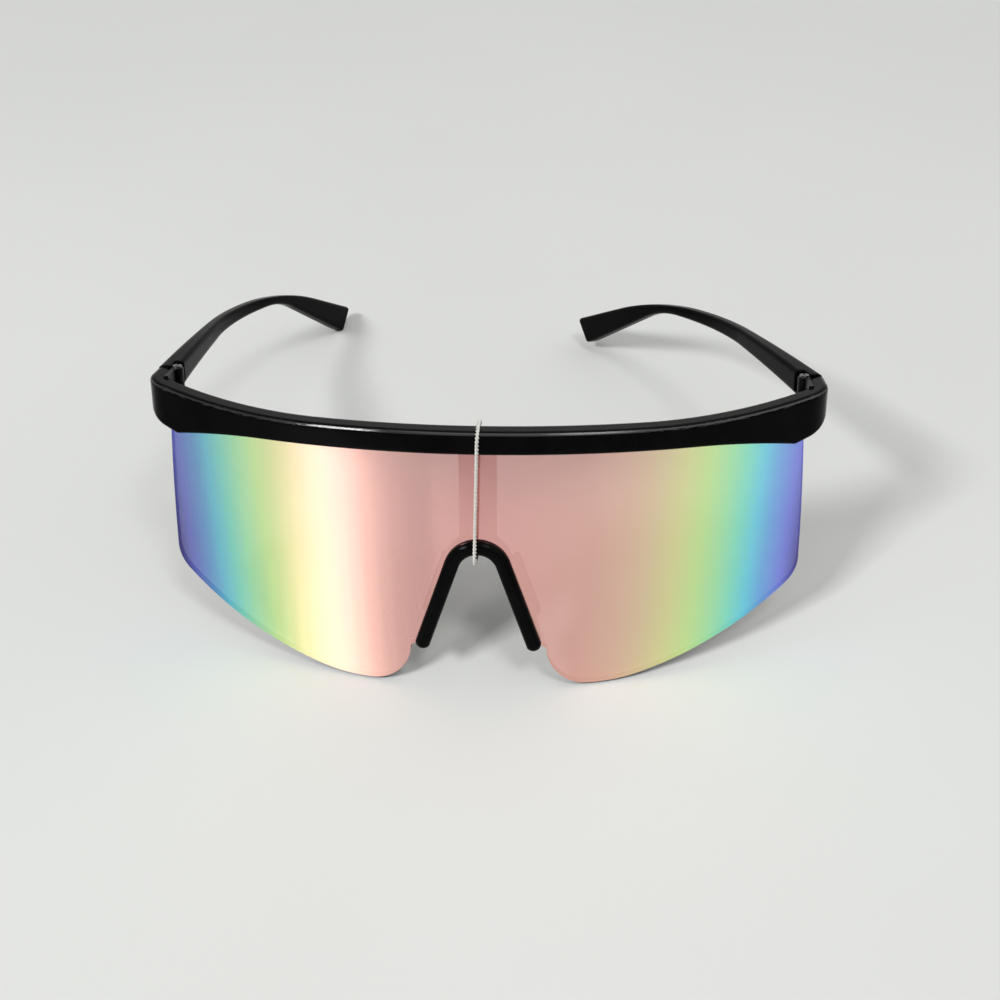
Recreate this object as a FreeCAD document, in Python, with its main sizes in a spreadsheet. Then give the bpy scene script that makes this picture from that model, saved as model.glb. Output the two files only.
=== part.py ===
import FreeCAD, Part
import math
import os
import Sketcher

# Shield sunglasses: one curved lens under a brow bar, a nose piece clipped on the lens and two
# folding temples.  Every piece is drawn in the frame of the lens (x to the right, y backwards from
# the middle of the lens, z up along it).  The finished glasses are then tilted back until they
# stand on the two lower lobes of the lens and on the tip of the open left temple.

Vector = FreeCAD.Vector
Rotation = FreeCAD.Rotation
Placement = FreeCAD.Placement

doc = FreeCAD.newDocument("shield_sunglasses")
sheet = doc.addObject("Spreadsheet::Sheet", "dims")
cells = []


class Size:
    """A size that carries its number and its formula over the cells of the sheet."""

    def __init__(self, number, formula):
        self.number = number
        self.formula = formula

    def __add__(self, other):
        other = as_size(other)
        return Size(self.number + other.number, "(%s + %s)" % (self.formula, other.formula))

    def __sub__(self, other):
        other = as_size(other)
        return Size(self.number - other.number, "(%s - %s)" % (self.formula, other.formula))

    def __mul__(self, other):
        other = as_size(other)
        return Size(self.number * other.number, "(%s * %s)" % (self.formula, other.formula))

    def __truediv__(self, other):
        other = as_size(other)
        return Size(self.number / other.number, "(%s / %s)" % (self.formula, other.formula))

    def __neg__(self):
        return Size(-self.number, "(0 - %s)" % self.formula)


def as_size(value):
    return value if isinstance(value, Size) else Size(float(value), "%.6f" % value)


def root(value):
    return Size(math.sqrt(value.number), "sqrt(%s)" % value.formula)


def sine(angle):
    return Size(math.sin(math.radians(angle.number)), "sin(%s)" % angle.formula)


def cosine(angle):
    return Size(math.cos(math.radians(angle.number)), "cos(%s)" % angle.formula)


def tangent(angle):
    return Size(math.tan(math.radians(angle.number)), "tan(%s)" % angle.formula)


def size(name, number):
    """Write one driving dimension to the sheet (millimetres or degrees)."""
    cells.append(name)
    sheet.set("A%d" % len(cells), name)
    sheet.set("B%d" % len(cells), str(number))
    sheet.setAlias("B%d" % len(cells), name)
    return Size(number, "dims." + name)


# Lens: a slice of a cylinder with two lobes below and a notch for the nose.
lens_radius = size("lens_radius", 140.0)
lens_thick = size("lens_thick", 2.0)
lens_inset = size("lens_inset", 4.2)
groove_depth = size("groove_depth", 2.5)
lens_top_inset = size("lens_top_inset", 1.2)
lens_side_radius = size("lens_side_radius", 450.0)
lens_corner_radius = size("lens_corner_radius", 6.9)
lobe_place = size("lobe_place", 23.3)
lobe_inner_radius = size("lobe_inner_radius", 8.7)
lobe_outer_radius = size("lobe_outer_radius", 40.0)
lobe_angle = size("lobe_angle", 16.2)
edge_angle = size("edge_angle", 39.0)

# Nose piece: an arch with two straight legs that grips the edge of the notch.
arch_height = size("arch_height", 26.35)
arch_radius = size("arch_radius", 4.15)
leg_angle = size("leg_angle", 19.4)
leg_length = size("leg_length", 19.7)
clip_width = size("clip_width", 3.2)
clip_web = size("clip_web", 2.0)
clip_front = size("clip_front", 1.5)
clip_back = size("clip_back", 2.8)
clip_bead = size("clip_bead", 1.2)
pad_reach = size("pad_reach", 5.5)
pad_flare = size("pad_flare", 2.6)
pad_thick = size("pad_thick", 1.9)
pad_length = size("pad_length", 14.0)
pad_start = size("pad_start", 2.5)
pad_taper_share = size("pad_taper_share", 0.8)
pad_edge_share = size("pad_edge_share", 0.26)
cap_flat_share = size("cap_flat_share", 0.03)

# Brow bar with its stem behind the lens and its two end pieces.
half_width = size("half_width", 73.2)
bar_front = size("bar_front", 1.6)
bar_back = size("bar_back", 3.4)
bar_low = size("bar_low", 52.9)
bar_height = size("bar_height", 4.9)
bar_drop = size("bar_drop", 3.7)
bar_low_flat = size("bar_low_flat", 45.0)
bar_top_flat = size("bar_top_flat", 34.0)
bar_edge = size("bar_edge", 0.9)
bar_low_edge = size("bar_low_edge", 0.5)
corner_radius = size("corner_radius", 8.0)
inner_corner = size("inner_corner", 2.5)
end_length = size("end_length", 5.1)
joint_rise = size("joint_rise", 3.6)
joint_height = size("joint_height", 5.5)
sweep_length = size("sweep_length", 4.5)
sweep_angle = size("sweep_angle", 33.0)
sweep_round = size("sweep_round", 10.0)
wall = size("wall", 4.2)
stem_half = size("stem_half", 3.9)
stem_thick = size("stem_thick", 2.3)
stem_flare = size("stem_flare", 1.0)
stem_root = size("stem_root", 1.5)
tenon_half = size("tenon_half", 2.5)
tenon_thick = size("tenon_thick", 1.2)
tenon_length = size("tenon_length", 2.2)

# Hinge: two knuckles in front, one on the temple, and the screw that joins them.
hinge_inset = size("hinge_inset", 4.3)
knuckle_radius = size("knuckle_radius", 1.3)
knuckle_rise = size("knuckle_rise", 0.5)
knuckle_sink = size("knuckle_sink", 0.34)
knuckle_middle = size("knuckle_middle", 1.7)
knuckle_play = size("knuckle_play", 0.08)
hinge_room = size("hinge_room", 0.2)
leaf_thick = size("leaf_thick", 1.0)
leaf_sink = size("leaf_sink", 1.9)
temple_leaf_length = size("temple_leaf_length", 9.5)
leaf_gap = size("leaf_gap", 1.9)
screw_radius = size("screw_radius", 0.6)
screw_head_radius = size("screw_head_radius", 1.0)
screw_head_height = size("screw_head_height", 0.5)
screw_slot = size("screw_slot", 0.35)

# Temple: slim neck, downward and inward bend at the ear, broad blunt tip.
temple_length = size("temple_length", 107.6)
temple_thick = size("temple_thick", 3.2)
lean_angle = size("lean_angle", 2.0)
bend_angle = size("bend_angle", 19.5)
bend_start = size("bend_start", 38.0)
bend_radius = size("bend_radius", 90.0)
leaf_cover = size("leaf_cover", 0.6)
notch_length = size("notch_length", 3.5)
drop_back = size("drop_back", 46.6)
drop_rise = size("drop_rise", 0.3)
drop_radius = size("drop_radius", 90.0)
crown_angle = size("crown_angle", 2.0)
drop_angle = size("drop_angle", 20.8)
neck_lag = size("neck_lag", 5.0)
neck_height = size("neck_height", 2.4)
neck_radius = size("neck_radius", 28.5)
neck_angle = size("neck_angle", 28.0)
paddle_run = size("paddle_run", 4.5)
tip_height = size("tip_height", 7.3)
tip_angle = size("tip_angle", 34.0)
temple_edge_share = size("temple_edge_share", 0.375)
rest_angle = size("rest_angle", 16.5)

# Tag thread: a loop over the bar and under the arch of the nose piece.
thread_radius = size("thread_radius", 0.45)
thread_bend = size("thread_bend", 2.7)
thread_slack = size("thread_slack", 1.4)
thread_off = size("thread_off", 0.7)
thread_angle = size("thread_angle", 1.6)

# Clearances.
fit = size("fit", 0.05)
joint_gap = size("joint_gap", 0.15)
lens_gap = size("lens_gap", 0.3)
cut_reach = size("cut_reach", 400.0)
near_enough = 0.01
doc.recompute()


# Sketches and features
def symmetric(right, cross=(), close=()):
    """Complete the right half of an outline; cross and close are the two stretches over the middle."""
    stops = [tuple(stop) for stop in right[:-1]]
    stops.append(tuple(right[-1][:2]) + tuple(cross))
    for index in range(len(right) - 1, -1, -1):
        stretch = right[index - 1][2:] if index else close
        stops.append((-right[index][0], right[index][1]) + tuple(stretch))
    return stops


def arc_between(start, finish, radius, turn):
    """The short arc from start to finish that bends left (turn 1) or right (turn -1)."""
    middle = (start + finish) * 0.5
    chord = finish - start
    rise = math.sqrt(max(radius ** 2 - (chord.Length / 2) ** 2, 0.0))
    centre = middle + Vector(-chord.y, chord.x, 0).normalize() * rise * turn
    angles = [math.atan2(point.y - centre.y, point.x - centre.x) for point in (start, finish)]
    if turn < 0:
        angles.reverse()
    return Part.ArcOfCircle(Part.Circle(centre, Vector(0, 0, 1), radius), angles[0], angles[1])


def bind(sketch, constraint, value):
    index = sketch.addConstraint(constraint)
    sketch.setExpression("Constraints[%d]" % index, value.formula)


def draw(sketch, stops):
    """Close an outline through the stops: (x, y) starts a line, (x, y, radius, turn) an arc."""
    places = [(as_size(stop[0]), as_size(stop[1])) for stop in stops]
    points = [Vector(x.number, y.number, 0) for x, y in places]
    ends = []
    for index, stop in enumerate(stops):
        start = points[index]
        finish = points[(index + 1) % len(points)]
        if len(stop) == 2:
            edge = sketch.addGeometry(Part.LineSegment(start, finish))
            ends.append((edge, 1, 2))
        else:
            radius = as_size(stop[2])
            edge = sketch.addGeometry(arc_between(start, finish, radius.number, stop[3]))
            ends.append((edge, 1, 2) if stop[3] > 0 else (edge, 2, 1))
            bind(sketch, Sketcher.Constraint("Radius", edge, radius.number), radius)
    for index, (edge, first, last) in enumerate(ends):
        following = ends[(index + 1) % len(ends)]
        sketch.addConstraint(Sketcher.Constraint("Coincident", edge, last, following[0], following[1]))
        x, y = places[index]
        bind(sketch, Sketcher.Constraint("DistanceX", -1, 1, edge, first, x.number), x)
        bind(sketch, Sketcher.Constraint("DistanceY", -1, 1, edge, first, y.number), y)


def sketch_on(body, name, role, offset, *outlines):
    """A sketch on one of the body's planes, moved along the plane's normal by offset."""
    sketch = body.newObject("Sketcher::SketchObject", name)
    plane = [feature for feature in body.Origin.OriginFeatures if feature.Role == role][0]
    offset = as_size(offset)
    sketch.AttachmentSupport = (plane, "")
    sketch.MapMode = "FlatFace"
    sketch.AttachmentOffset = Placement(Vector(0, 0, offset.number), Rotation())
    sketch.setExpression("AttachmentOffset.Base.z", offset.formula)
    for outline in outlines:
        draw(sketch, outline)
    return sketch


def circle_on(body, name, offset, place, radius):
    """A sketch of one circle in plan, at the given height."""
    sketch = sketch_on(body, name, "XY_Plane", offset)
    centre = Vector(place[0].number, place[1].number, 0)
    edge = sketch.addGeometry(Part.Circle(centre, Vector(0, 0, 1), radius.number))
    bind(sketch, Sketcher.Constraint("Radius", edge, radius.number), radius)
    bind(sketch, Sketcher.Constraint("DistanceX", -1, 1, edge, 3, centre.x), place[0])
    bind(sketch, Sketcher.Constraint("DistanceY", -1, 1, edge, 3, centre.y), place[1])
    return sketch


def extrude(body, kind, sketch, length, reverse=False, both=False):
    """Pad or pocket a sketch; both spreads the length evenly over the two sides."""
    feature = body.newObject("PartDesign::" + kind, sketch.Name + "_" + kind)
    length = as_size(length)
    feature.Profile = sketch
    feature.Length = length.number
    feature.setExpression("Length", length.formula)
    feature.SideType = "Symmetric" if both else "One side"
    feature.Reversed = reverse
    doc.recompute()
    return feature


def cut(body, sketch, length, reverse=False, both=False):
    """A pocket that has to take material away."""
    before = body.Shape.Volume
    feature = extrude(body, "Pocket", sketch, length, reverse, both)
    if body.Shape.Volume > before - 1e-6:
        raise RuntimeError(feature.Name + " cuts nothing")
    return feature


def round_edges(body, name, radius, wanted):
    """Fillet the edges of the body for which wanted(edge) holds."""
    base = body.Tip
    names = ["Edge%d" % (i + 1) for i, edge in enumerate(base.Shape.Edges) if wanted(edge)]
    fillet = body.newObject("PartDesign::Fillet", name)
    fillet.Base = (base, names)
    fillet.Radius = radius.number
    fillet.setExpression("Radius", radius.formula)
    doc.recompute()
    return fillet


def new_body(label):
    body = doc.addObject("PartDesign::Body", label)
    body.Label = label
    return body


def rectangle(left, right, low, high):
    return [(left, low), (right, low), (right, high), (left, high)]


def is_level(edge):
    """True for an edge that isn't upright."""
    box = edge.BoundBox
    return box.XLength + box.YLength > near_enough


# Curves that several pieces share
def on_cylinder(radius, x):
    """Depth of a cylinder about the lens axis at a distance x from the middle."""
    return lens_radius - root(radius * radius - x * x)


def arch_point(radius):
    """Where a curve about the arch centre runs into the straight leg."""
    return radius * cosine(leg_angle), arch_height + radius * sine(leg_angle)


def leg_point(radius, along):
    """A place on the leg, along from its arch."""
    x, z = arch_point(radius)
    return x + along * sine(leg_angle), z - along * cosine(leg_angle)


def lens_band(outer, inner, half):
    """Plan of a curved sheet between two radii about the lens axis, cut straight at its ends."""
    return symmetric(
        [(half, on_cylinder(outer, half)), (half, on_cylinder(inner, half))],
        cross=(inner, -1), close=(outer, 1))


lens_back = lens_radius - lens_thick
lens_half_width = half_width - lens_inset
lens_top = bar_low + groove_depth
bar_top = bar_low + bar_height
joint_low = bar_low + joint_rise
joint_top = joint_low + joint_height
knuckle_low = joint_low + knuckle_rise
knuckle_top = joint_top - knuckle_sink
knuckle_height = (knuckle_top - knuckle_low - knuckle_middle - knuckle_play * 2) / 2
drop_start = temple_length - drop_back
drop_height = joint_top + drop_rise
neck_start = drop_start + neck_lag
clip_outer = arch_radius + clip_width
lens_notch = arch_radius + clip_web
stem_front = lens_thick + lens_gap
bar_outer = lens_radius + bar_front
bar_inner = lens_radius - bar_back
corner_x = half_width - corner_radius
corner_y = on_cylinder(bar_outer - corner_radius, corner_x)
wall_x = half_width - wall
hollow_x = wall_x - inner_corner
hollow_y = on_cylinder(bar_inner - inner_corner, hollow_x)
joint_depth = corner_y + end_length
sweep_end = joint_depth - sweep_length
leaf_end = hollow_y - leaf_sink
axis_x = half_width - hinge_inset
middle_low = knuckle_low + knuckle_height + knuckle_play
middle_top = middle_low + knuckle_middle
leaf_inner = wall_x
leaf_outer = wall_x + leaf_thick


# Lens
def make_lens():
    body = new_body("shield_lens")
    band = sketch_on(body, "lens_plan", "XY_Plane", 0,
                     lens_band(lens_radius, lens_back, lens_half_width + lens_gap))
    extrude(body, "Pad", band, lens_top + lens_gap)
    low_x = lobe_place + lobe_outer_radius * sine(lobe_angle)
    low_z = lobe_outer_radius - lobe_outer_radius * cosine(lobe_angle)
    corner_x = lens_half_width - lens_corner_radius + lens_corner_radius * sine(edge_angle)
    edge_radius = (corner_x - low_x) / (sine(edge_angle) - sine(lobe_angle))
    corner_z = low_z + edge_radius * (cosine(lobe_angle) - cosine(edge_angle))
    side_z = corner_z + lens_corner_radius * cosine(edge_angle)
    outline = symmetric(
        [(lens_half_width - lens_top_inset, lens_top, lens_side_radius, -1),
         (lens_half_width, side_z, lens_corner_radius, -1),
         (corner_x, corner_z, edge_radius, -1),
         (low_x, low_z, lobe_outer_radius, -1),
         (lobe_place, as_size(0), lobe_inner_radius, -1),
         (lobe_place - lobe_inner_radius, lobe_inner_radius),
         leg_point(lens_notch, leg_length),
         arch_point(lens_notch)],
        cross=(lens_notch, 1))
    spare = rectangle(-half_width, half_width, -lens_gap, lens_top + lens_gap * 2)
    face = sketch_on(body, "lens_outline", "XZ_Plane", 0, spare, outline)
    cut(body, face, cut_reach, both=True)
    return body


# Brow bar with stem and end pieces
def bar_plan():
    grow = bar_outer / (bar_outer - corner_radius)
    spread = bar_inner / (bar_inner - inner_corner)
    return symmetric(
        [(corner_x * grow, lens_radius + (corner_y - lens_radius) * grow, corner_radius, 1),
         (half_width, corner_y),
         (half_width, joint_depth),
         (wall_x, joint_depth),
         (wall_x, hollow_y, inner_corner, -1),
         (hollow_x * spread, lens_radius + (hollow_y - lens_radius) * spread)],
        cross=(bar_inner, -1), close=(bar_outer, 1))


def bar_above():
    """What is taken off above the bar: level in the middle, rising to the end pieces."""
    rise = joint_top - bar_top
    run = half_width - bar_top_flat
    radius = (run * run + rise * rise) / (rise * 2)
    return symmetric(
        [(half_width + wall, joint_top + wall * 2),
         (half_width + wall, joint_top),
         (half_width, joint_top, radius, -1),
         (bar_top_flat, bar_top)])


def bar_below():
    """What is taken off below the bar: level in the middle, deeper towards the ends."""
    run = half_width - bar_low_flat
    radius = (run * run + bar_drop * bar_drop) / (bar_drop * 2)
    return symmetric(
        [(half_width + wall, bar_low - bar_drop - wall * 2),
         (half_width + wall, bar_low - bar_drop),
         (half_width, bar_low - bar_drop, radius, 1),
         (bar_low_flat, bar_low)])


def end_sweep():
    """What is taken off below the end pieces, which sweep up to the slim temples."""
    bite = sweep_round * tangent(sweep_angle / 2)
    depth = bar_drop + joint_low - bar_low + wall
    return [(sweep_end - depth / tangent(sweep_angle), joint_low - depth),
            (joint_depth + wall, joint_low - depth),
            (joint_depth + wall, joint_low),
            (sweep_end + bite, joint_low, sweep_round, 1),
            (sweep_end - bite * cosine(sweep_angle), joint_low - bite * sine(sweep_angle))]


def stem_outline():
    """The stem stands on the arch of the nose piece and flares into the bar."""
    seat = clip_outer + fit
    foot_z = arch_height + root(seat * seat - stem_half * stem_half)
    return symmetric(
        [(stem_half + stem_flare, bar_low + stem_root),
         (stem_half + stem_flare, bar_low, stem_flare, 1),
         (stem_half, bar_low - stem_flare),
         (stem_half, foot_z)],
        cross=(seat, 1))


def make_bar():
    body = new_body("brow_bar")
    low = bar_low - bar_drop
    plan = sketch_on(body, "bar_plan", "XY_Plane", low, bar_plan())
    extrude(body, "Pad", plan, joint_top - low)
    cut(body, sketch_on(body, "bar_above", "XZ_Plane", 0, bar_above()), cut_reach, both=True)
    cut(body, sketch_on(body, "bar_below", "XZ_Plane", 0, bar_below()), cut_reach, both=True)
    cut(body, sketch_on(body, "end_sweep", "YZ_Plane", 0, end_sweep()), cut_reach, both=True)
    before_joint = joint_depth.number - near_enough
    round_edges(body, "bar_top_edges", bar_edge, lambda edge: is_level(edge)
                and edge.BoundBox.YMin < before_joint and edge.BoundBox.ZMin > bar_top.number - near_enough)
    round_edges(body, "bar_low_edges", bar_low_edge, lambda edge: is_level(edge)
                and edge.BoundBox.YMin < before_joint and edge.BoundBox.ZMax < bar_top.number)
    groove = lens_band(lens_radius + fit, lens_back - fit, lens_half_width + fit)
    cut(body, sketch_on(body, "lens_groove", "XY_Plane", lens_top + fit, groove), cut_reach)
    stem = sketch_on(body, "stem", "XZ_Plane", -stem_front, stem_outline())
    extrude(body, "Pad", stem, stem_thick, reverse=True)
    crest = arch_height + clip_outer
    tenon = rectangle(-tenon_half, tenon_half, crest - tenon_length, crest + tenon_length)
    tenon_front = stem_front + (stem_thick - tenon_thick) / 2
    extrude(body, "Pad", sketch_on(body, "tenon", "XZ_Plane", -tenon_front, tenon), tenon_thick, reverse=True)
    for name, side in (("left", -1), ("right", 1)):
        seat = rectangle((leaf_inner - fit) * side, (leaf_outer + fit) * side, leaf_end - fit, joint_depth)
        sketch = sketch_on(body, "leaf_seat_" + name, "XY_Plane", knuckle_top + fit, seat)
        cut(body, sketch, knuckle_top - knuckle_low + fit * 2)
        room = circle_on(body, "knuckle_room_" + name, joint_top + wall, (axis_x * side, joint_depth),
                         knuckle_radius + hinge_room)
        cut(body, room, joint_height + wall * 2)
    return body


# Nose piece
def arch_outline(inner, outer, cap):
    """An arch with two legs between two radii; cap rounds the ends of the legs."""
    return symmetric(
        [arch_point(outer),
         leg_point(outer, leg_length) + cap,
         leg_point(inner, leg_length),
         arch_point(inner)],
        cross=(inner, 1), close=(outer, -1))


def pad_slot(shift, thick):
    """Section of a nose pad: a bar along the leg with round ends, moved outwards by shift."""
    near = arch_radius + shift
    far = near + thick
    cap = (thick * (cap_flat_share + 0.5), -1)
    return [leg_point(far, pad_start),
            leg_point(far, pad_start + pad_length) + cap,
            leg_point(near, pad_start + pad_length),
            leg_point(near, pad_start) + cap]


def mirrored(outline, side):
    """The outline itself, or its mirror image for the other side."""
    if side > 0:
        return outline
    return [(-stop[0], stop[1]) + ((stop[2], -stop[3]) if len(stop) > 2 else ()) for stop in outline]


def make_nose():
    body = new_body("nose_piece")
    body.AllowCompound = True
    back = lens_thick + clip_back
    pad_tip = pad_thick * pad_taper_share
    clip = sketch_on(body, "clip", "XZ_Plane", clip_front,
                     arch_outline(arch_radius, clip_outer, (clip_width * (cap_flat_share + 0.5), -1)))
    extrude(body, "Pad", clip, clip_front + back, reverse=True)
    front_face = -clip_front.number + near_enough
    round_edges(body, "clip_front_edges", clip_bead, lambda edge: edge.BoundBox.YMax < front_face)
    slot = lens_band(lens_radius + fit, lens_back - fit, lens_half_width / 2)
    cut(body, sketch_on(body, "lens_slot", "XY_Plane", 0, slot), arch_height * 2, reverse=True)
    web = arch_outline(arch_radius, lens_notch - fit, ())
    web_front = clip_front - clip_bead
    sketch = sketch_on(body, "web", "XZ_Plane", web_front, web)
    extrude(body, "Pad", sketch, web_front + back - fit, reverse=True)
    for name, side in (("left", -1), ("right", 1)):
        near = sketch_on(body, "pad_near_" + name, "XZ_Plane", fit - back,
                         mirrored(pad_slot(clip_web - pad_thick, pad_thick), side))
        far = sketch_on(body, "pad_far_" + name, "XZ_Plane", -(back + pad_reach),
                        mirrored(pad_slot(pad_flare, pad_tip), side))
        loft = body.newObject("PartDesign::AdditiveLoft", "pad_" + name)
        loft.Profile = near
        loft.Sections = [far]
        loft.Ruled = True
        doc.recompute()
    far_end = back.number + pad_reach.number - near_enough
    round_edges(body, "pad_edges", pad_tip * pad_edge_share, lambda edge: edge.BoundBox.YMin > far_end)
    crest = arch_height + clip_outer
    socket = rectangle(-(tenon_half + fit), tenon_half + fit, crest - tenon_length - fit, crest + fit)
    socket_front = stem_front + (stem_thick - tenon_thick) / 2 - fit
    sketch = sketch_on(body, "socket", "XZ_Plane", -socket_front, socket)
    cut(body, sketch, tenon_thick + fit * 2)
    return body


# Temples
def temple_plan(side):
    """The temple from above: straight, then bent inwards and on past the tip, with a knuckle notch."""
    root_y = joint_depth + joint_gap
    outer_1 = half_width - bend_start * tangent(lean_angle)
    y_1 = joint_depth + bend_start
    outer_2 = outer_1 - bend_radius * (cosine(lean_angle) - cosine(bend_angle))
    y_2 = y_1 + bend_radius * (sine(bend_angle) - sine(lean_angle))
    y_3 = joint_depth + temple_length + temple_thick * 2
    outer_3 = outer_2 - (y_3 - y_2) * tangent(bend_angle)
    thick_x = temple_thick * cosine(bend_angle)
    thick_y = temple_thick * sine(bend_angle)
    notch_x = axis_x + knuckle_radius + hinge_room
    notch_y = joint_depth + notch_length
    outline = [(half_width, root_y),
               (outer_1, y_1, bend_radius, 1),
               (outer_2, y_2),
               (outer_3, y_3),
               (outer_3 - thick_x, y_3 - thick_y),
               (outer_2 - thick_x, y_2 - thick_y, bend_radius - temple_thick, -1),
               (outer_1 - temple_thick * cosine(lean_angle), y_1 - temple_thick * sine(lean_angle)),
               (leaf_inner - leaf_cover, notch_y),
               (notch_x, notch_y),
               (notch_x, root_y)]
    return mirrored(outline, side)


def tip_corner():
    """Upper corner of the tip, on the straight stretch behind the ear bend, and where that starts."""
    turn_y = drop_start + drop_radius * (sine(drop_angle) - sine(crown_angle))
    turn_z = drop_height - drop_radius * (cosine(crown_angle) - cosine(drop_angle))
    return turn_y, turn_z, turn_z - (temple_length - turn_y) * tangent(drop_angle)


def tip_foot():
    """Lower corner of the tip, which the open temple stands on."""
    tip_z = tip_corner()[2]
    return temple_length - tip_height * sine(tip_angle), tip_z - tip_height * cosine(tip_angle)


def tangent_arc(along, across, angle):
    """The arc that leaves at an angle below the level and ends along and across further on."""
    offset = along * sine(angle) + across * cosine(angle)
    turn = 1 if offset.number > 0 else -1
    return (along * along + across * across) / (offset * 2 * turn), turn


def temple_side():
    """The temple from the side: slim neck, ear bend and broad tip."""
    turn_y, turn_z, tip_z = tip_corner()
    foot_y, foot_z = tip_foot()
    neck_slope = sine(crown_angle) + neck_lag / drop_radius
    neck_top = drop_height - drop_radius * (cosine(crown_angle) - root(as_size(1) - neck_slope * neck_slope))
    neck_low = neck_top - neck_height
    rise = neck_low - joint_low
    belly_radius = (neck_start * neck_start + rise * rise) / (rise * 2)
    bend_y = neck_start + neck_radius * sine(neck_angle)
    bend_z = neck_low - neck_radius * (as_size(1) - cosine(neck_angle))
    paddle_y = foot_y - paddle_run
    paddle_z = bend_z - (paddle_y - bend_y) * tangent(neck_angle)
    paddle = tangent_arc(paddle_run, foot_z - paddle_z, neck_angle)
    crown = tangent_arc(drop_start, drop_rise, crown_angle)
    return [(joint_depth, joint_low, belly_radius, -1),
            (joint_depth + neck_start, neck_low, neck_radius, -1),
            (joint_depth + bend_y, bend_z),
            (joint_depth + paddle_y, paddle_z) + paddle,
            (joint_depth + foot_y, foot_z),
            (joint_depth + temple_length, tip_z),
            (joint_depth + turn_y, turn_z, drop_radius, 1),
            (joint_depth + drop_start, drop_height) + crown,
            (joint_depth, joint_top)]


def on_tip(edge):
    """True for an edge of the flat end of the temple."""
    corner = Vector(0, joint_depth.number + temple_length.number, tip_corner()[2].number)
    along = Vector(0, cosine(tip_angle).number, -sine(tip_angle).number)
    return all(abs((vertex.Point - corner).dot(along)) < near_enough for vertex in edge.Vertexes)


def make_temple(name, side):
    body = new_body("temple_" + name)
    low = tip_foot()[1] - tip_height
    high = joint_top + tip_height
    plan = sketch_on(body, "temple_plan_" + name, "XY_Plane", low, temple_plan(side))
    extrude(body, "Pad", plan, high - low)
    spare = rectangle(as_size(0), joint_depth + temple_length * 1.5, low - tip_height, high + tip_height)
    outline = sketch_on(body, "temple_side_" + name, "YZ_Plane", 0, spare, temple_side())
    cut(body, outline, cut_reach, both=True)
    round_edges(body, "temple_edges_" + name, neck_height * temple_edge_share, lambda edge: is_level(edge)
                and (edge.BoundBox.YLength > notch_length.number or on_tip(edge)))
    seat = rectangle((leaf_inner - fit) * side, (leaf_outer + fit) * side,
                     joint_depth, joint_depth + temple_leaf_length + fit)
    sketch = sketch_on(body, "leaf_seat_" + name, "XY_Plane", knuckle_top - knuckle_height / 2 + fit, seat)
    cut(body, sketch, knuckle_top - knuckle_low - knuckle_height + fit * 2)
    return body


# Hinges
def make_front_leaf(name, side):
    body = new_body("hinge_front_leaf_" + name)
    axis = (axis_x * side, joint_depth)
    height = knuckle_top - knuckle_low
    extrude(body, "Pad", circle_on(body, "barrel", knuckle_low, axis, knuckle_radius), height)
    foot = rectangle(leaf_inner * side, leaf_outer * side, leaf_end, joint_depth)
    extrude(body, "Pad", sketch_on(body, "foot", "XY_Plane", knuckle_low, foot), height)
    reach = knuckle_radius * 2
    gap = rectangle((axis_x - reach) * side, (axis_x + reach) * side,
                    joint_depth - leaf_gap, joint_depth + reach)
    sketch = sketch_on(body, "gap", "XY_Plane", middle_top + knuckle_play, gap)
    cut(body, sketch, knuckle_middle + knuckle_play * 2)
    bore = circle_on(body, "bore", knuckle_top, axis, screw_radius + fit)
    cut(body, bore, height)
    return body


def make_temple_leaf(name, side):
    body = new_body("hinge_temple_leaf_" + name)
    axis = (axis_x * side, joint_depth)
    extrude(body, "Pad", circle_on(body, "barrel", middle_low, axis, knuckle_radius), knuckle_middle)
    tongue = rectangle(leaf_inner * side, leaf_outer * side, joint_depth, joint_depth + temple_leaf_length)
    extrude(body, "Pad", sketch_on(body, "tongue", "XY_Plane", middle_low, tongue), knuckle_middle)
    foot = rectangle(leaf_inner * side, leaf_outer * side,
                     joint_depth + notch_length, joint_depth + temple_leaf_length)
    sketch = sketch_on(body, "foot", "XY_Plane", knuckle_low + knuckle_height / 2, foot)
    extrude(body, "Pad", sketch, knuckle_top - knuckle_low - knuckle_height)
    bore = circle_on(body, "bore", middle_top, axis, screw_radius + fit)
    cut(body, bore, knuckle_middle)
    return body


def make_screw(name, side):
    body = new_body("hinge_screw_" + name)
    axis = (axis_x * side, joint_depth)
    shank = circle_on(body, "shank", knuckle_low, axis, screw_radius)
    extrude(body, "Pad", shank, knuckle_top - knuckle_low)
    head = circle_on(body, "head", knuckle_top, axis, screw_head_radius)
    extrude(body, "Pad", head, screw_head_height)
    top = knuckle_top + screw_head_height
    slot = rectangle(axis[0] - screw_slot / 2, axis[0] + screw_slot / 2,
                     joint_depth - screw_head_radius * 2, joint_depth + screw_head_radius * 2)
    cut(body, sketch_on(body, "slot", "XY_Plane", top, slot), screw_head_height / 2)
    return body


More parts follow.
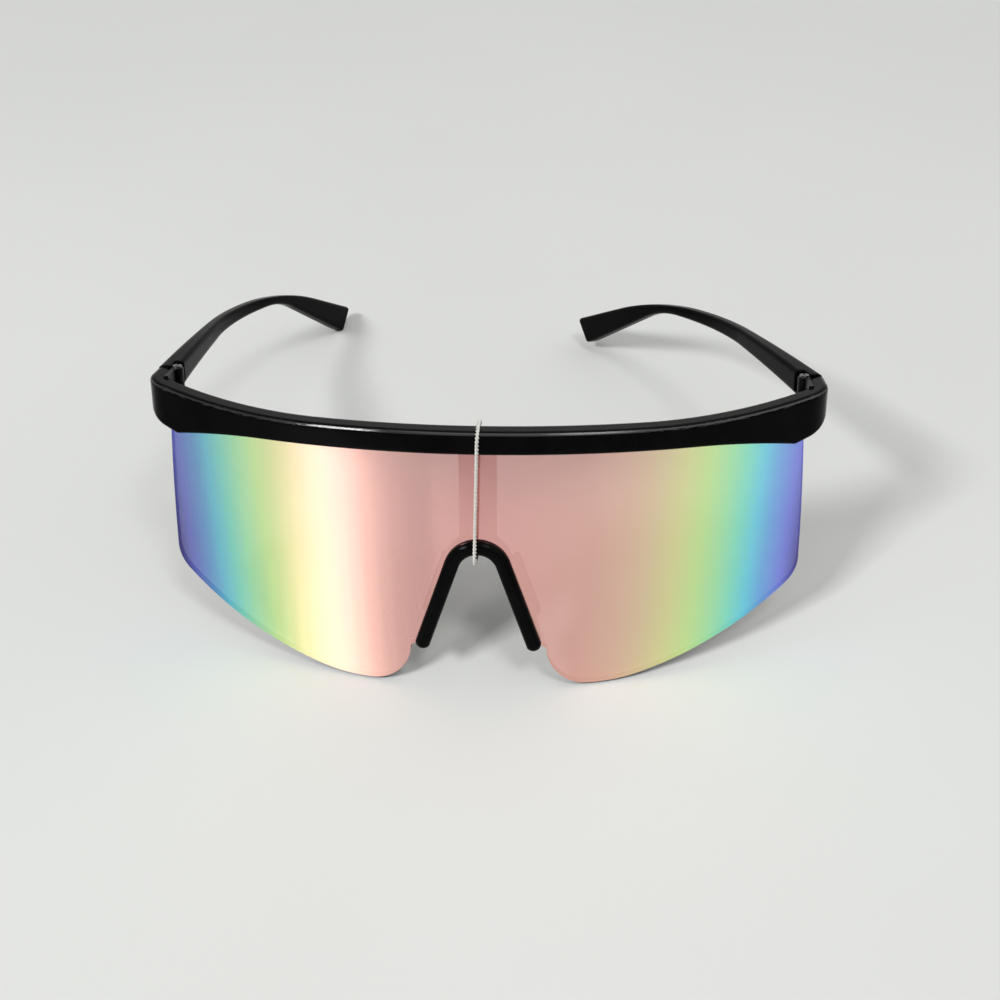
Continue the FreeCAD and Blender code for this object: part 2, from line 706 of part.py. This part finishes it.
# Tag thread
def make_thread():
    """A closed loop of straight runs and quarter turns, leaning a little to one side."""
    radius = thread_radius.number
    bend = thread_bend.number
    up = Rotation(Vector(0, 1, 0), thread_angle.number).multVec(Vector(0, 0, 1))
    back = Vector(0, 1, 0)
    near = -(max(bar_front.number, clip_front.number) + radius + thread_off.number)
    far = max((stem_front + stem_thick).number, (lens_thick + clip_back).number) + radius + thread_off.number
    inside = bend - radius - bar_edge.number
    drop = math.sqrt((inside - fit.number) ** 2 - (inside - thread_off.number) ** 2)
    high = bar_top.number - bar_edge.number + bend - drop
    low = arch_height.number + arch_radius.number - radius - thread_slack.number
    middle = Vector(0, (near + far) / 2, (high + low) / 2)
    reach = back * ((far - near) / 2)
    rise = up * ((high - low) / 2)
    corners = [middle - reach + rise, middle + reach + rise, middle + reach - rise, middle - reach - rise]
    runs = []
    for index, corner in enumerate(corners):
        before = (corners[index - 1] - corner).normalize() * bend
        after = (corners[(index + 1) % 4] - corner).normalize() * bend
        beyond = corners[(index + 1) % 4] - after
        turn = corner + (before + after) * (1 - math.sqrt(0.5))
        runs.append(Part.Arc(corner + before, turn, corner + after).toShape())
        runs.append(Part.LineSegment(corner + after, beyond).toShape())
    path = Part.Wire(runs)
    start = corners[0] + (corners[3] - corners[0]).normalize() * bend
    section = Part.Wire(Part.Circle(start, up, radius).toShape())
    loop = path.makePipeShell([section], True, True)
    expected = math.pi * radius ** 2 * path.Length
    print("thread volume %.3f, section times length %.3f, bends %.2f" % (loop.Volume, expected, bend))
    feature = doc.addObject("Part::Feature", "tag_thread")
    feature.Label = "tag_thread"
    feature.Shape = loop
    return feature


# Assembly
front = [make_bar(), make_lens(), make_nose(), make_thread()]
temples = {}
for name, side in (("left", -1), ("right", 1)):
    front += [make_front_leaf(name, side), make_screw(name, side)]
    temples[name] = [make_temple(name, side), make_temple_leaf(name, side)]


def lowest(piece, angle):
    """How low a piece reaches when the glasses are tilted back by an angle."""
    shape = piece.Shape.copy()
    shape.rotate(Vector(0, 0, 0), Vector(1, 0, 0), -angle)
    return shape.optimalBoundingBox(False, False).ZMin


foot_y, foot_z = tip_foot()
lens, left_temple = front[1], temples["left"][0]
span = joint_depth.number + foot_y.number - on_cylinder(lens_back, lobe_place).number
tilt = math.degrees(math.atan2(foot_z.number, span))
for step in range(4):
    gap = lowest(left_temple, tilt) - lowest(lens, tilt)
    tilt += math.degrees(math.atan2(gap, span))
stand = Placement(Vector(0, 0, 0), Rotation(Vector(1, 0, 0), -tilt))
axis_right = Vector(axis_x.number, joint_depth.number, 0)
fold = Placement(Vector(0, 0, 0), Rotation(Vector(0, 0, 1), rest_angle.number), axis_right)

for piece in front + temples["left"]:
    piece.Placement = stand
for piece in temples["right"]:
    piece.Placement = stand.multiply(fold)
doc.recompute()

pieces = front + temples["left"] + temples["right"]
box = FreeCAD.BoundBox()
for piece in pieces:
    box.add(piece.Shape.optimalBoundingBox(False, False))
shift = Placement(Vector(0, -box.Center.y, -box.ZMin), Rotation())
for piece in pieces:
    piece.Placement = shift.multiply(piece.Placement)
doc.recompute()

for item in doc.Objects:
    if "Invalid" in item.State or "Error" in item.State:
        raise RuntimeError(item.Name + " is " + ", ".join(item.State))
for piece in pieces:
    if piece.Shape.isNull() or not piece.Shape.isValid() or len(piece.Shape.Solids) != 1:
        raise RuntimeError(piece.Label + " isn't one valid solid")

os.makedirs("parts", exist_ok=True)
for piece in pieces:
    piece.Shape.exportStep(os.path.join("parts", piece.Label + ".step"))
    print("%s %.1f mm3" % (piece.Label, piece.Shape.Volume))
for name, side in (("left", -1), ("right", 1)):
    place = shift.multiply(stand).multVec(Vector(axis_x.number * side, joint_depth.number, joint_low.number))
    print("hinge axis %s through %.3f %.3f %.3f" % (name, place.x, place.y, place.z))
print("tilt %.4f, shift %.4f %.4f, size %.2f x %.2f x %.2f" % (
    tilt, -box.Center.y, -box.ZMin, box.XLength, box.YLength, box.ZLength))
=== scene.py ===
import math
import bmesh
import bpy
from mathutils import Matrix, Vector


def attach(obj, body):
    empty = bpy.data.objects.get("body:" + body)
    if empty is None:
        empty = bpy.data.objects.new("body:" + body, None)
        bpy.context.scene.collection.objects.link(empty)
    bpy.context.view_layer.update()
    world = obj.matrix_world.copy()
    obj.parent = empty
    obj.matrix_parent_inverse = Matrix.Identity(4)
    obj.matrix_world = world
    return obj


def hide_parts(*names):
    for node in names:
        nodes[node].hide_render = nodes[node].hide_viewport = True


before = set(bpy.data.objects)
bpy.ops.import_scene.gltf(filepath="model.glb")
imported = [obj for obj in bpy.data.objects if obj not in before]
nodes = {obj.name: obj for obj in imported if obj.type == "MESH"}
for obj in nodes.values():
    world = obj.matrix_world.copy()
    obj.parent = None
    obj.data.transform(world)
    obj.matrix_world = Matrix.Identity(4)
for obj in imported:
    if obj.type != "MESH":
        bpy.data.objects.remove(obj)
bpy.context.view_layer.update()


# Brow bar: the bar over the lens with its two end pieces, moulded in one from black nylon and polished
# in the mould.  Flow waviness and faint clouds break up its gloss, and its upper front edge is buffed
# brighter than the rest.
bar = nodes["brow_bar"]
moulded_dark, moulded_light = (0.0008, 0.0009, 0.0009), (0.002, 0.0021, 0.002)
flow_depth = 0.00006
edge_round = 0.0009
buffed_forward = 0.15
buffed_low, buffed_high = 0.5, 0.93


def new_material(name):
    material = bpy.data.materials.new(name)
    material.use_nodes = True
    return material, material.node_tree.nodes, material.node_tree.links


def noise(steps, links, scale, detail, stretch=(1.0, 1.0, 1.0)):
    """A cloud pattern that sticks to the object, stretched along its axes."""
    place = steps.new("ShaderNodeTexCoord")
    spread = steps.new("ShaderNodeMapping")
    spread.inputs["Scale"].default_value = stretch
    links.new(place.outputs["Object"], spread.inputs["Vector"])
    cloud = steps.new("ShaderNodeTexNoise")
    cloud.inputs["Scale"].default_value = scale
    cloud.inputs["Detail"].default_value = detail
    links.new(spread.outputs["Vector"], cloud.inputs["Vector"])
    return cloud.outputs["Fac"]


def spread_to(steps, links, source, low, high):
    """The middle of a cloud pattern, spread from low to high."""
    span = steps.new("ShaderNodeMapRange")
    span.inputs["From Min"].default_value = 0.35
    span.inputs["From Max"].default_value = 0.65
    span.inputs["To Min"].default_value = low
    span.inputs["To Max"].default_value = high
    links.new(source, span.inputs["Value"])
    return span.outputs["Result"]


def tinted(steps, links, source, dark, light):
    """The middle of a cloud pattern, run between two colours."""
    tint = steps.new("ShaderNodeValToRGB")
    tint.color_ramp.elements[0].position = 0.35
    tint.color_ramp.elements[0].color = dark + (1.0,)
    tint.color_ramp.elements[1].position = 0.65
    tint.color_ramp.elements[1].color = light + (1.0,)
    links.new(source, tint.inputs["Fac"])
    return tint.outputs["Color"]


def mottled(steps, links, cloud, dark, light, smooth, rough):
    """The material's shader, with a cloud pattern in its colour and in its gloss."""
    shader = steps["Principled BSDF"]
    links.new(tinted(steps, links, cloud, dark, light), shader.inputs["Base Color"])
    links.new(spread_to(steps, links, cloud, smooth, rough), shader.inputs["Roughness"])
    return shader


def bumped(steps, links, source, depth, strength):
    bump = steps.new("ShaderNodeBump")
    bump.inputs["Strength"].default_value = strength
    bump.inputs["Distance"].default_value = depth
    links.new(source, bump.inputs["Height"])
    return bump


def gloss_black(name, roughness, shine):
    """Black plastic with flow waves, whose sharp edges are shaded round."""
    material, steps, links = new_material(name)
    cloud = noise(steps, links, 160.0, 4.0)
    shader = mottled(steps, links, cloud, moulded_dark, moulded_light, roughness, roughness + 0.06)
    shader.inputs["Specular IOR Level"].default_value = shine
    flow = noise(steps, links, 240.0, 2.0, (1.0, 0.4, 0.4))
    wave = bumped(steps, links, flow, flow_depth, 0.2)
    round_edge = steps.new("ShaderNodeBevel")
    round_edge.samples = 6
    round_edge.inputs["Radius"].default_value = edge_round
    links.new(round_edge.outputs["Normal"], wave.inputs["Normal"])
    links.new(wave.outputs["Normal"], shader.inputs["Normal"])
    return material


def dress(node, *finishes):
    """Gives a node its finishes, with the first one on every face."""
    node.data.materials.clear()
    for finish in finishes:
        node.data.materials.append(finish)


dress(bar, gloss_black("bar_black", 0.1, 0.045), gloss_black("bar_buffed", 0.05, 0.8))
for face in bar.data.polygons:
    if -face.normal.y > buffed_forward and buffed_low < face.normal.z < buffed_high:
        face.material_index = 1


# Lens: one sheet of polycarbonate bent to a cylinder and snapped into the groove under the bar.  A mirror
# film coats its front in bands that slant a little, from pink in the middle through yellow, green and
# blue to violet at the sides; the back is plain smoky plastic, and the cut rim looks dark.
lens = nodes["shield_lens"]
lens_lean = math.radians(18.9829)
lens_foot = Vector((0.0, -0.0729437, 0.0013683))
lens_radius = 0.14
square_on = 0.7
band_slant = -0.08
band_first, band_last = -0.0026, 0.0674
film_colours = [
    (0.0, (0.88, 0.45, 0.43)), (0.34, (0.89, 0.5, 0.43)), (0.44, (0.91, 0.58, 0.45)),
    (0.52, (0.9, 0.7, 0.44)), (0.6, (0.88, 0.87, 0.41)), (0.67, (0.72, 1.0, 0.4)),
    (0.74, (0.48, 1.0, 0.55)), (0.79, (0.3, 0.95, 0.75)), (0.84, (0.2, 0.8, 1.0)),
    (0.89, (0.2, 0.5, 1.0)), (0.95, (0.23, 0.27, 0.95)), (1.0, (0.1, 0.08, 0.37))]

lens_film, steps, links = new_material("lens_film")
film = steps["Principled BSDF"]
film.inputs["Metallic"].default_value = 1.0
place = steps.new("ShaderNodeTexCoord")
split = steps.new("ShaderNodeSeparateXYZ")
links.new(place.outputs["Object"], split.inputs["Vector"])
aside = steps.new("ShaderNodeMath")
aside.operation = "ABSOLUTE"
links.new(split.outputs["X"], aside.inputs[0])
slant = steps.new("ShaderNodeMath")
slant.operation = "MULTIPLY_ADD"
slant.inputs[1].default_value = band_slant
links.new(split.outputs["Z"], slant.inputs[0])
links.new(aside.outputs["Value"], slant.inputs[2])
across = steps.new("ShaderNodeMapRange")
across.inputs["From Min"].default_value = band_first
across.inputs["From Max"].default_value = band_last
links.new(slant.outputs["Value"], across.inputs["Value"])
rainbow = steps.new("ShaderNodeValToRGB")
stops = rainbow.color_ramp.elements
for index, (where, colour) in enumerate(film_colours):
    stop = stops[index] if index < 2 else stops.new(where)
    stop.position = where
    stop.color = colour + (1.0,)
links.new(across.outputs["Result"], rainbow.inputs["Fac"])
links.new(rainbow.outputs["Color"], film.inputs["Base Color"])
smudge = noise(steps, links, 55.0, 5.0)
links.new(spread_to(steps, links, smudge, 0.1, 0.15), film.inputs["Roughness"])
links.new(spread_to(steps, links, smudge, 0.85, 0.87), film.inputs["Alpha"])
seen = steps.new("ShaderNodeNewGeometry")
inside = steps.new("ShaderNodeBsdfTransparent")
inside.inputs["Color"].default_value = (0.20, 0.18, 0.172, 1.0)
either = steps.new("ShaderNodeMixShader")
links.new(seen.outputs["Backfacing"], either.inputs["Fac"])
links.new(film.outputs["BSDF"], either.inputs[1])
links.new(inside.outputs["BSDF"], either.inputs[2])
links.new(either.outputs["Shader"], steps["Material Output"].inputs["Surface"])

lens_smoke, steps, links = new_material("lens_smoke")
smudge = noise(steps, links, 60.0, 5.0)
shader = mottled(steps, links, smudge, (0.030, 0.026, 0.026), (0.036, 0.031, 0.031), 0.06, 0.12)
shader.inputs["Alpha"].default_value = 0.12
shader.inputs["IOR"].default_value = 3.4

lens_rim, steps, links = new_material("lens_rim")
saw = noise(steps, links, 900.0, 3.0)
mottled(steps, links, saw, (0.020, 0.020, 0.045), (0.035, 0.035, 0.070), 0.25, 0.4)

dress(lens, lens_film, lens_smoke, lens_rim)
stand_up = Matrix.Rotation(lens_lean, 3, "X")
for face in lens.data.polygons:
    spot = stand_up @ (Vector(face.center) - lens_foot)
    outwards = Vector((spot.x, spot.y - lens_radius, 0.0)).normalized()
    facing = outwards.dot(stand_up @ Vector(face.normal))
    face.material_index = 0 if facing > square_on else 1 if facing < -square_on else 2


# Nose piece: an arch with two legs and two pads behind the lens, one gloss moulding of black plastic.
# Its slot grips the edge of the notch, and the stem of the bar plugs into its top.
dress(nodes["nose_piece"], gloss_black("nose_black", 0.06, 0.05))


# Hinges: stamped leaves of blackened steel let into the mouldings, a fork at each end of the bar and one
# knuckle on each temple.  A turned steel screw goes down through each joint, with its head on top.
def metal(name, dark, light, rough):
    material, steps, links = new_material(name)
    grain = noise(steps, links, 1500.0, 3.0, (1.0, 1.0, 0.15))
    shader = mottled(steps, links, grain, dark, light, rough, rough + 0.12)
    shader.inputs["Metallic"].default_value = 1.0
    links.new(bumped(steps, links, grain, 0.00001, 0.3).outputs["Normal"], shader.inputs["Normal"])
    return material


hinge_steel = metal("hinge_steel", (0.012, 0.012, 0.013), (0.022, 0.022, 0.023), 0.35)
screw_steel = metal("screw_steel", (0.16, 0.16, 0.15), (0.26, 0.26, 0.25), 0.2)
for hand in ("left", "right"):
    dress(nodes["hinge_front_leaf_" + hand], hinge_steel)
    dress(nodes["hinge_temple_leaf_" + hand], hinge_steel)
    dress(nodes["hinge_screw_" + hand], screw_steel)


# Temples: two arms with bent, broad tips, moulded from the same black nylon as the bar and a little less
# glossy.  Each one turns on the screw of its hinge.
temple_black = gloss_black("temple_black", 0.16, 0.03)
dress(nodes["temple_left"], temple_black)
dress(nodes["temple_right"], temple_black)


# Tag thread: white sewing thread of two plies twisted together, tied in a loop over the bar and under the
# arch of the nose piece.  It lies close to both; its knot is hidden and left out.
thread_front, thread_back = -0.00275, 0.00595
thread_low, thread_high = 0.02865, 0.058474
thread_bend = 0.0027
thread_lean = math.radians(1.6)
thread_twists = 45
rings_per_twist = 14
ply_radius = 0.00021
ply_sides = 8


def thread_path(count):
    """Places and outward directions round an upright rectangle with round corners."""
    reach, rise = (thread_back - thread_front) / 2, (thread_high - thread_low) / 2
    flat, tall = reach - thread_bend, rise - thread_bend
    runs = [tall * 2, thread_bend * math.pi / 2, flat * 2, thread_bend * math.pi / 2] * 2
    starts = [(reach, -tall), (flat, rise), (-reach, tall), (-flat, -rise)]
    centres = [(flat, tall), (-flat, tall), (-flat, -tall), (flat, -tall)]
    for step in range(count):
        along = sum(runs) * step / count
        leg = 0
        while along > runs[leg]:
            along -= runs[leg]
            leg += 1
        quarter = leg // 2
        heading = quarter * math.pi / 2 + (along / thread_bend if leg % 2 else 0.0)
        outward = Vector((math.cos(heading), math.sin(heading)))
        if leg % 2:
            yield Vector(centres[quarter]) + outward * thread_bend, outward
        else:
            yield Vector(starts[quarter]) + Vector((-outward.y, outward.x)) * along, outward


def leaning(place):
    """A place beside the upright lens, leant back with it."""
    return Matrix.Rotation(-lens_lean, 3, "X") @ place + lens_foot


def add_ply(mesh, phase):
    """One ply: a thin tube that winds round the path of the thread."""
    middle = Vector((0.0, (thread_front + thread_back) / 2, (thread_low + thread_high) / 2))
    rise = Vector((math.sin(thread_lean), 0.0, math.cos(thread_lean)))
    aside = Vector((math.cos(thread_lean), 0.0, -math.sin(thread_lean)))
    count = thread_twists * rings_per_twist
    rings = []
    for step, (spot, outward) in enumerate(thread_path(count)):
        out = Vector((0.0, outward.x, 0.0)) + rise * outward.y
        twist = step / count * thread_twists * 2 * math.pi + phase
        core = middle + Vector((0.0, spot.x, 0.0)) + rise * spot.y
        core += (out * math.cos(twist) + aside * math.sin(twist)) * ply_radius
        ring = []
        for corner in range(ply_sides):
            angle = corner * 2 * math.pi / ply_sides
            edge = core + (out * math.cos(angle) + aside * math.sin(angle)) * ply_radius
            ring.append(mesh.verts.new(leaning(edge)))
        rings.append(ring)
    for index, ring in enumerate(rings):
        following = rings[(index + 1) % count]
        for corner in range(ply_sides):
            after = (corner + 1) % ply_sides
            mesh.faces.new((ring[corner], ring[after], following[after], following[corner]))


def add_piece(name, mesh, material):
    """A new object at the origin, made from a finished bmesh."""
    data = bpy.data.meshes.new(name)
    mesh.to_mesh(data)
    mesh.free()
    data.materials.append(material)
    piece = bpy.data.objects.new(name, data)
    bpy.context.scene.collection.objects.link(piece)
    return piece


thread_white, steps, links = new_material("thread_white")
shader = steps["Principled BSDF"]
fibre = noise(steps, links, 3500.0, 3.0)
links.new(tinted(steps, links, fibre, (0.62, 0.61, 0.57), (0.86, 0.85, 0.81)), shader.inputs["Base Color"])
shader.inputs["Roughness"].default_value = 0.75
links.new(bumped(steps, links, fibre, 0.00003, 0.5).outputs["Normal"], shader.inputs["Normal"])

thread_mesh = bmesh.new()
add_ply(thread_mesh, 0.0)
add_ply(thread_mesh, math.pi)
bmesh.ops.recalc_face_normals(thread_mesh, faces=thread_mesh.faces)
for face in thread_mesh.faces:
    face.smooth = True
thread = add_piece("thread", thread_mesh, thread_white)
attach(thread, "front")
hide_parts("tag_thread")


# Stage: a pale table in a dim room with a pale wall, under a broad ceiling light, with a window at the
# left front and a lamp at the right front.  A glowing card on the table, hidden from the camera and from
# diffuse
# light, shows only in glossy reflections: its glow is a painted reflection, a bright stripe in the lens
# mirror.
table_half = 2.5
room_light, wall_light = 0.16, 0.5
glasses_middle = (0.0, -0.04, 0.03)
card_corner = Vector((0.004, -0.0195, 0.0003))
card_near, card_far = 0.06, 1.5
card_first, card_last, card_step = 14, 95, 3
# Glow of the card: an even level plus a painted stripe of reflection that the lens mirrors as its bright
# band.
card_level = 0.7
stripe_level, stripe_at, stripe_width = 1.2, 34, 6.2
fade_level, fade_at, fade_width = 0.22, 53, 12

table_paint, steps, links = new_material("table_paint")
shader = steps["Principled BSDF"]
haze = noise(steps, links, 6.0, 4.0)
links.new(tinted(steps, links, haze, (0.78, 0.79, 0.765), (0.80, 0.81, 0.79)), shader.inputs["Base Color"])
shader.inputs["Roughness"].default_value = 0.9
shader.inputs["Specular IOR Level"].default_value = 0.0
table_mesh = bmesh.new()
bmesh.ops.create_grid(table_mesh, x_segments=1, y_segments=1, size=table_half)
add_piece("table", table_mesh, table_paint)

world = bpy.data.worlds.new("studio")
bpy.context.scene.world = world
world.use_nodes = True
steps, links = world.node_tree.nodes, world.node_tree.links
room = steps["Background"]
room.inputs["Color"].default_value = (0.97, 0.98, 0.97, 1.0)
rays = steps.new("ShaderNodeLightPath")
shown = rays.outputs["Is Camera Ray"]
for kind in ("Is Glossy Ray", "Is Transmission Ray"):
    both = steps.new("ShaderNodeMath")
    both.operation = "MAXIMUM"
    links.new(shown, both.inputs[0])
    links.new(rays.outputs[kind], both.inputs[1])
    shown = both.outputs["Value"]
wall = steps.new("ShaderNodeMapRange")
wall.inputs["To Min"].default_value = room_light
wall.inputs["To Max"].default_value = wall_light
links.new(shown, wall.inputs["Value"])
links.new(wall.outputs["Result"], room.inputs["Strength"])


def softbox(name, place, aim, width, height, power):
    light = bpy.data.lights.new(name, "AREA")
    light.shape = "RECTANGLE"
    light.size = width
    light.size_y = height
    light.energy = power
    lamp = bpy.data.objects.new(name, light)
    lamp.location = place
    lamp.rotation_euler = (Vector(aim) - Vector(place)).to_track_quat("-Z", "Y").to_euler()
    bpy.context.scene.collection.objects.link(lamp)


softbox("ceiling", (1.6, 0.3, 2.2), (1.6, 0.3, 0.0), 4.6, 4.6, 39.0)
softbox("window", (-1.119, -1.159, 1.558), glasses_middle, 0.5, 0.36, 26.0)
softbox("lamp", (0.587, -0.848, 1.99), glasses_middle, 0.5, 0.5, 8.0)

# The card's emission shows only in glossy reflections, chiefly in the lens: a painted reflection, not a
# lamp.
card_light, steps, links = new_material("card_light")
shine = steps.new("ShaderNodeEmission")
level = steps.new("ShaderNodeAttribute")
level.attribute_name = "glow"
links.new(level.outputs["Fac"], shine.inputs["Strength"])
links.new(shine.outputs["Emission"], steps["Material Output"].inputs["Surface"])

card_mesh = bmesh.new()
glow = card_mesh.verts.layers.float.new("glow")
first_turn = math.radians(card_first)
card_heading = Vector((-math.sin(first_turn), -math.cos(first_turn), 0.0))
card_ends = [card_mesh.verts.new(card_corner + card_heading * reach) for reach in (card_near, card_far)]
card_edge = card_mesh.edges.new(card_ends)
bmesh.ops.spin(card_mesh, geom=card_ends + [card_edge], cent=card_corner, axis=(0.0, 0.0, -1.0),
               angle=math.radians(card_last - card_first), steps=(card_last - card_first) // card_step)
# Glow at each corner: an even level, a painted reflection stripe, and a fade beyond the stripe's far side.
for corner in card_mesh.verts:
    spot = corner.co - card_corner
    degrees = math.degrees(math.atan2(-spot.x, -spot.y))
    corner[glow] = card_level + stripe_level * math.exp(-((degrees - stripe_at) / stripe_width) ** 2 / 2)
    corner[glow] -= fade_level * min(max((degrees - fade_at) / fade_width, 0.0), 1.0)
card = add_piece("card", card_mesh, card_light)
card.visible_camera = False
card.visible_diffuse = False
card.visible_shadow = False


# Camera: in front of the glasses, above them and a little to the right, where the picture was taken from.
# It looks down by 40 degrees and is turned and rolled by a few degrees more.
camera_place = (0.02253, -0.27731, 0.227418)
yaw, pitch, roll = math.radians(4.6491), math.radians(40.2804), math.radians(-1.8194)
camera_data = bpy.data.cameras.new("camera")
camera_data.sensor_width = 36.0
camera_data.lens = 50.4
camera_data.clip_start = 0.01
camera = bpy.data.objects.new("camera", camera_data)
tilt = Matrix.Rotation(math.pi / 2 - pitch, 3, "X")
turn = Matrix.Rotation(yaw, 3, "Z") @ tilt @ Matrix.Rotation(roll, 3, "Z")
camera.matrix_world = Matrix.Translation(camera_place) @ turn.to_4x4()
bpy.context.scene.collection.objects.link(camera)
bpy.context.scene.camera = camera
bpy.context.scene.view_settings.view_transform = "Standard"
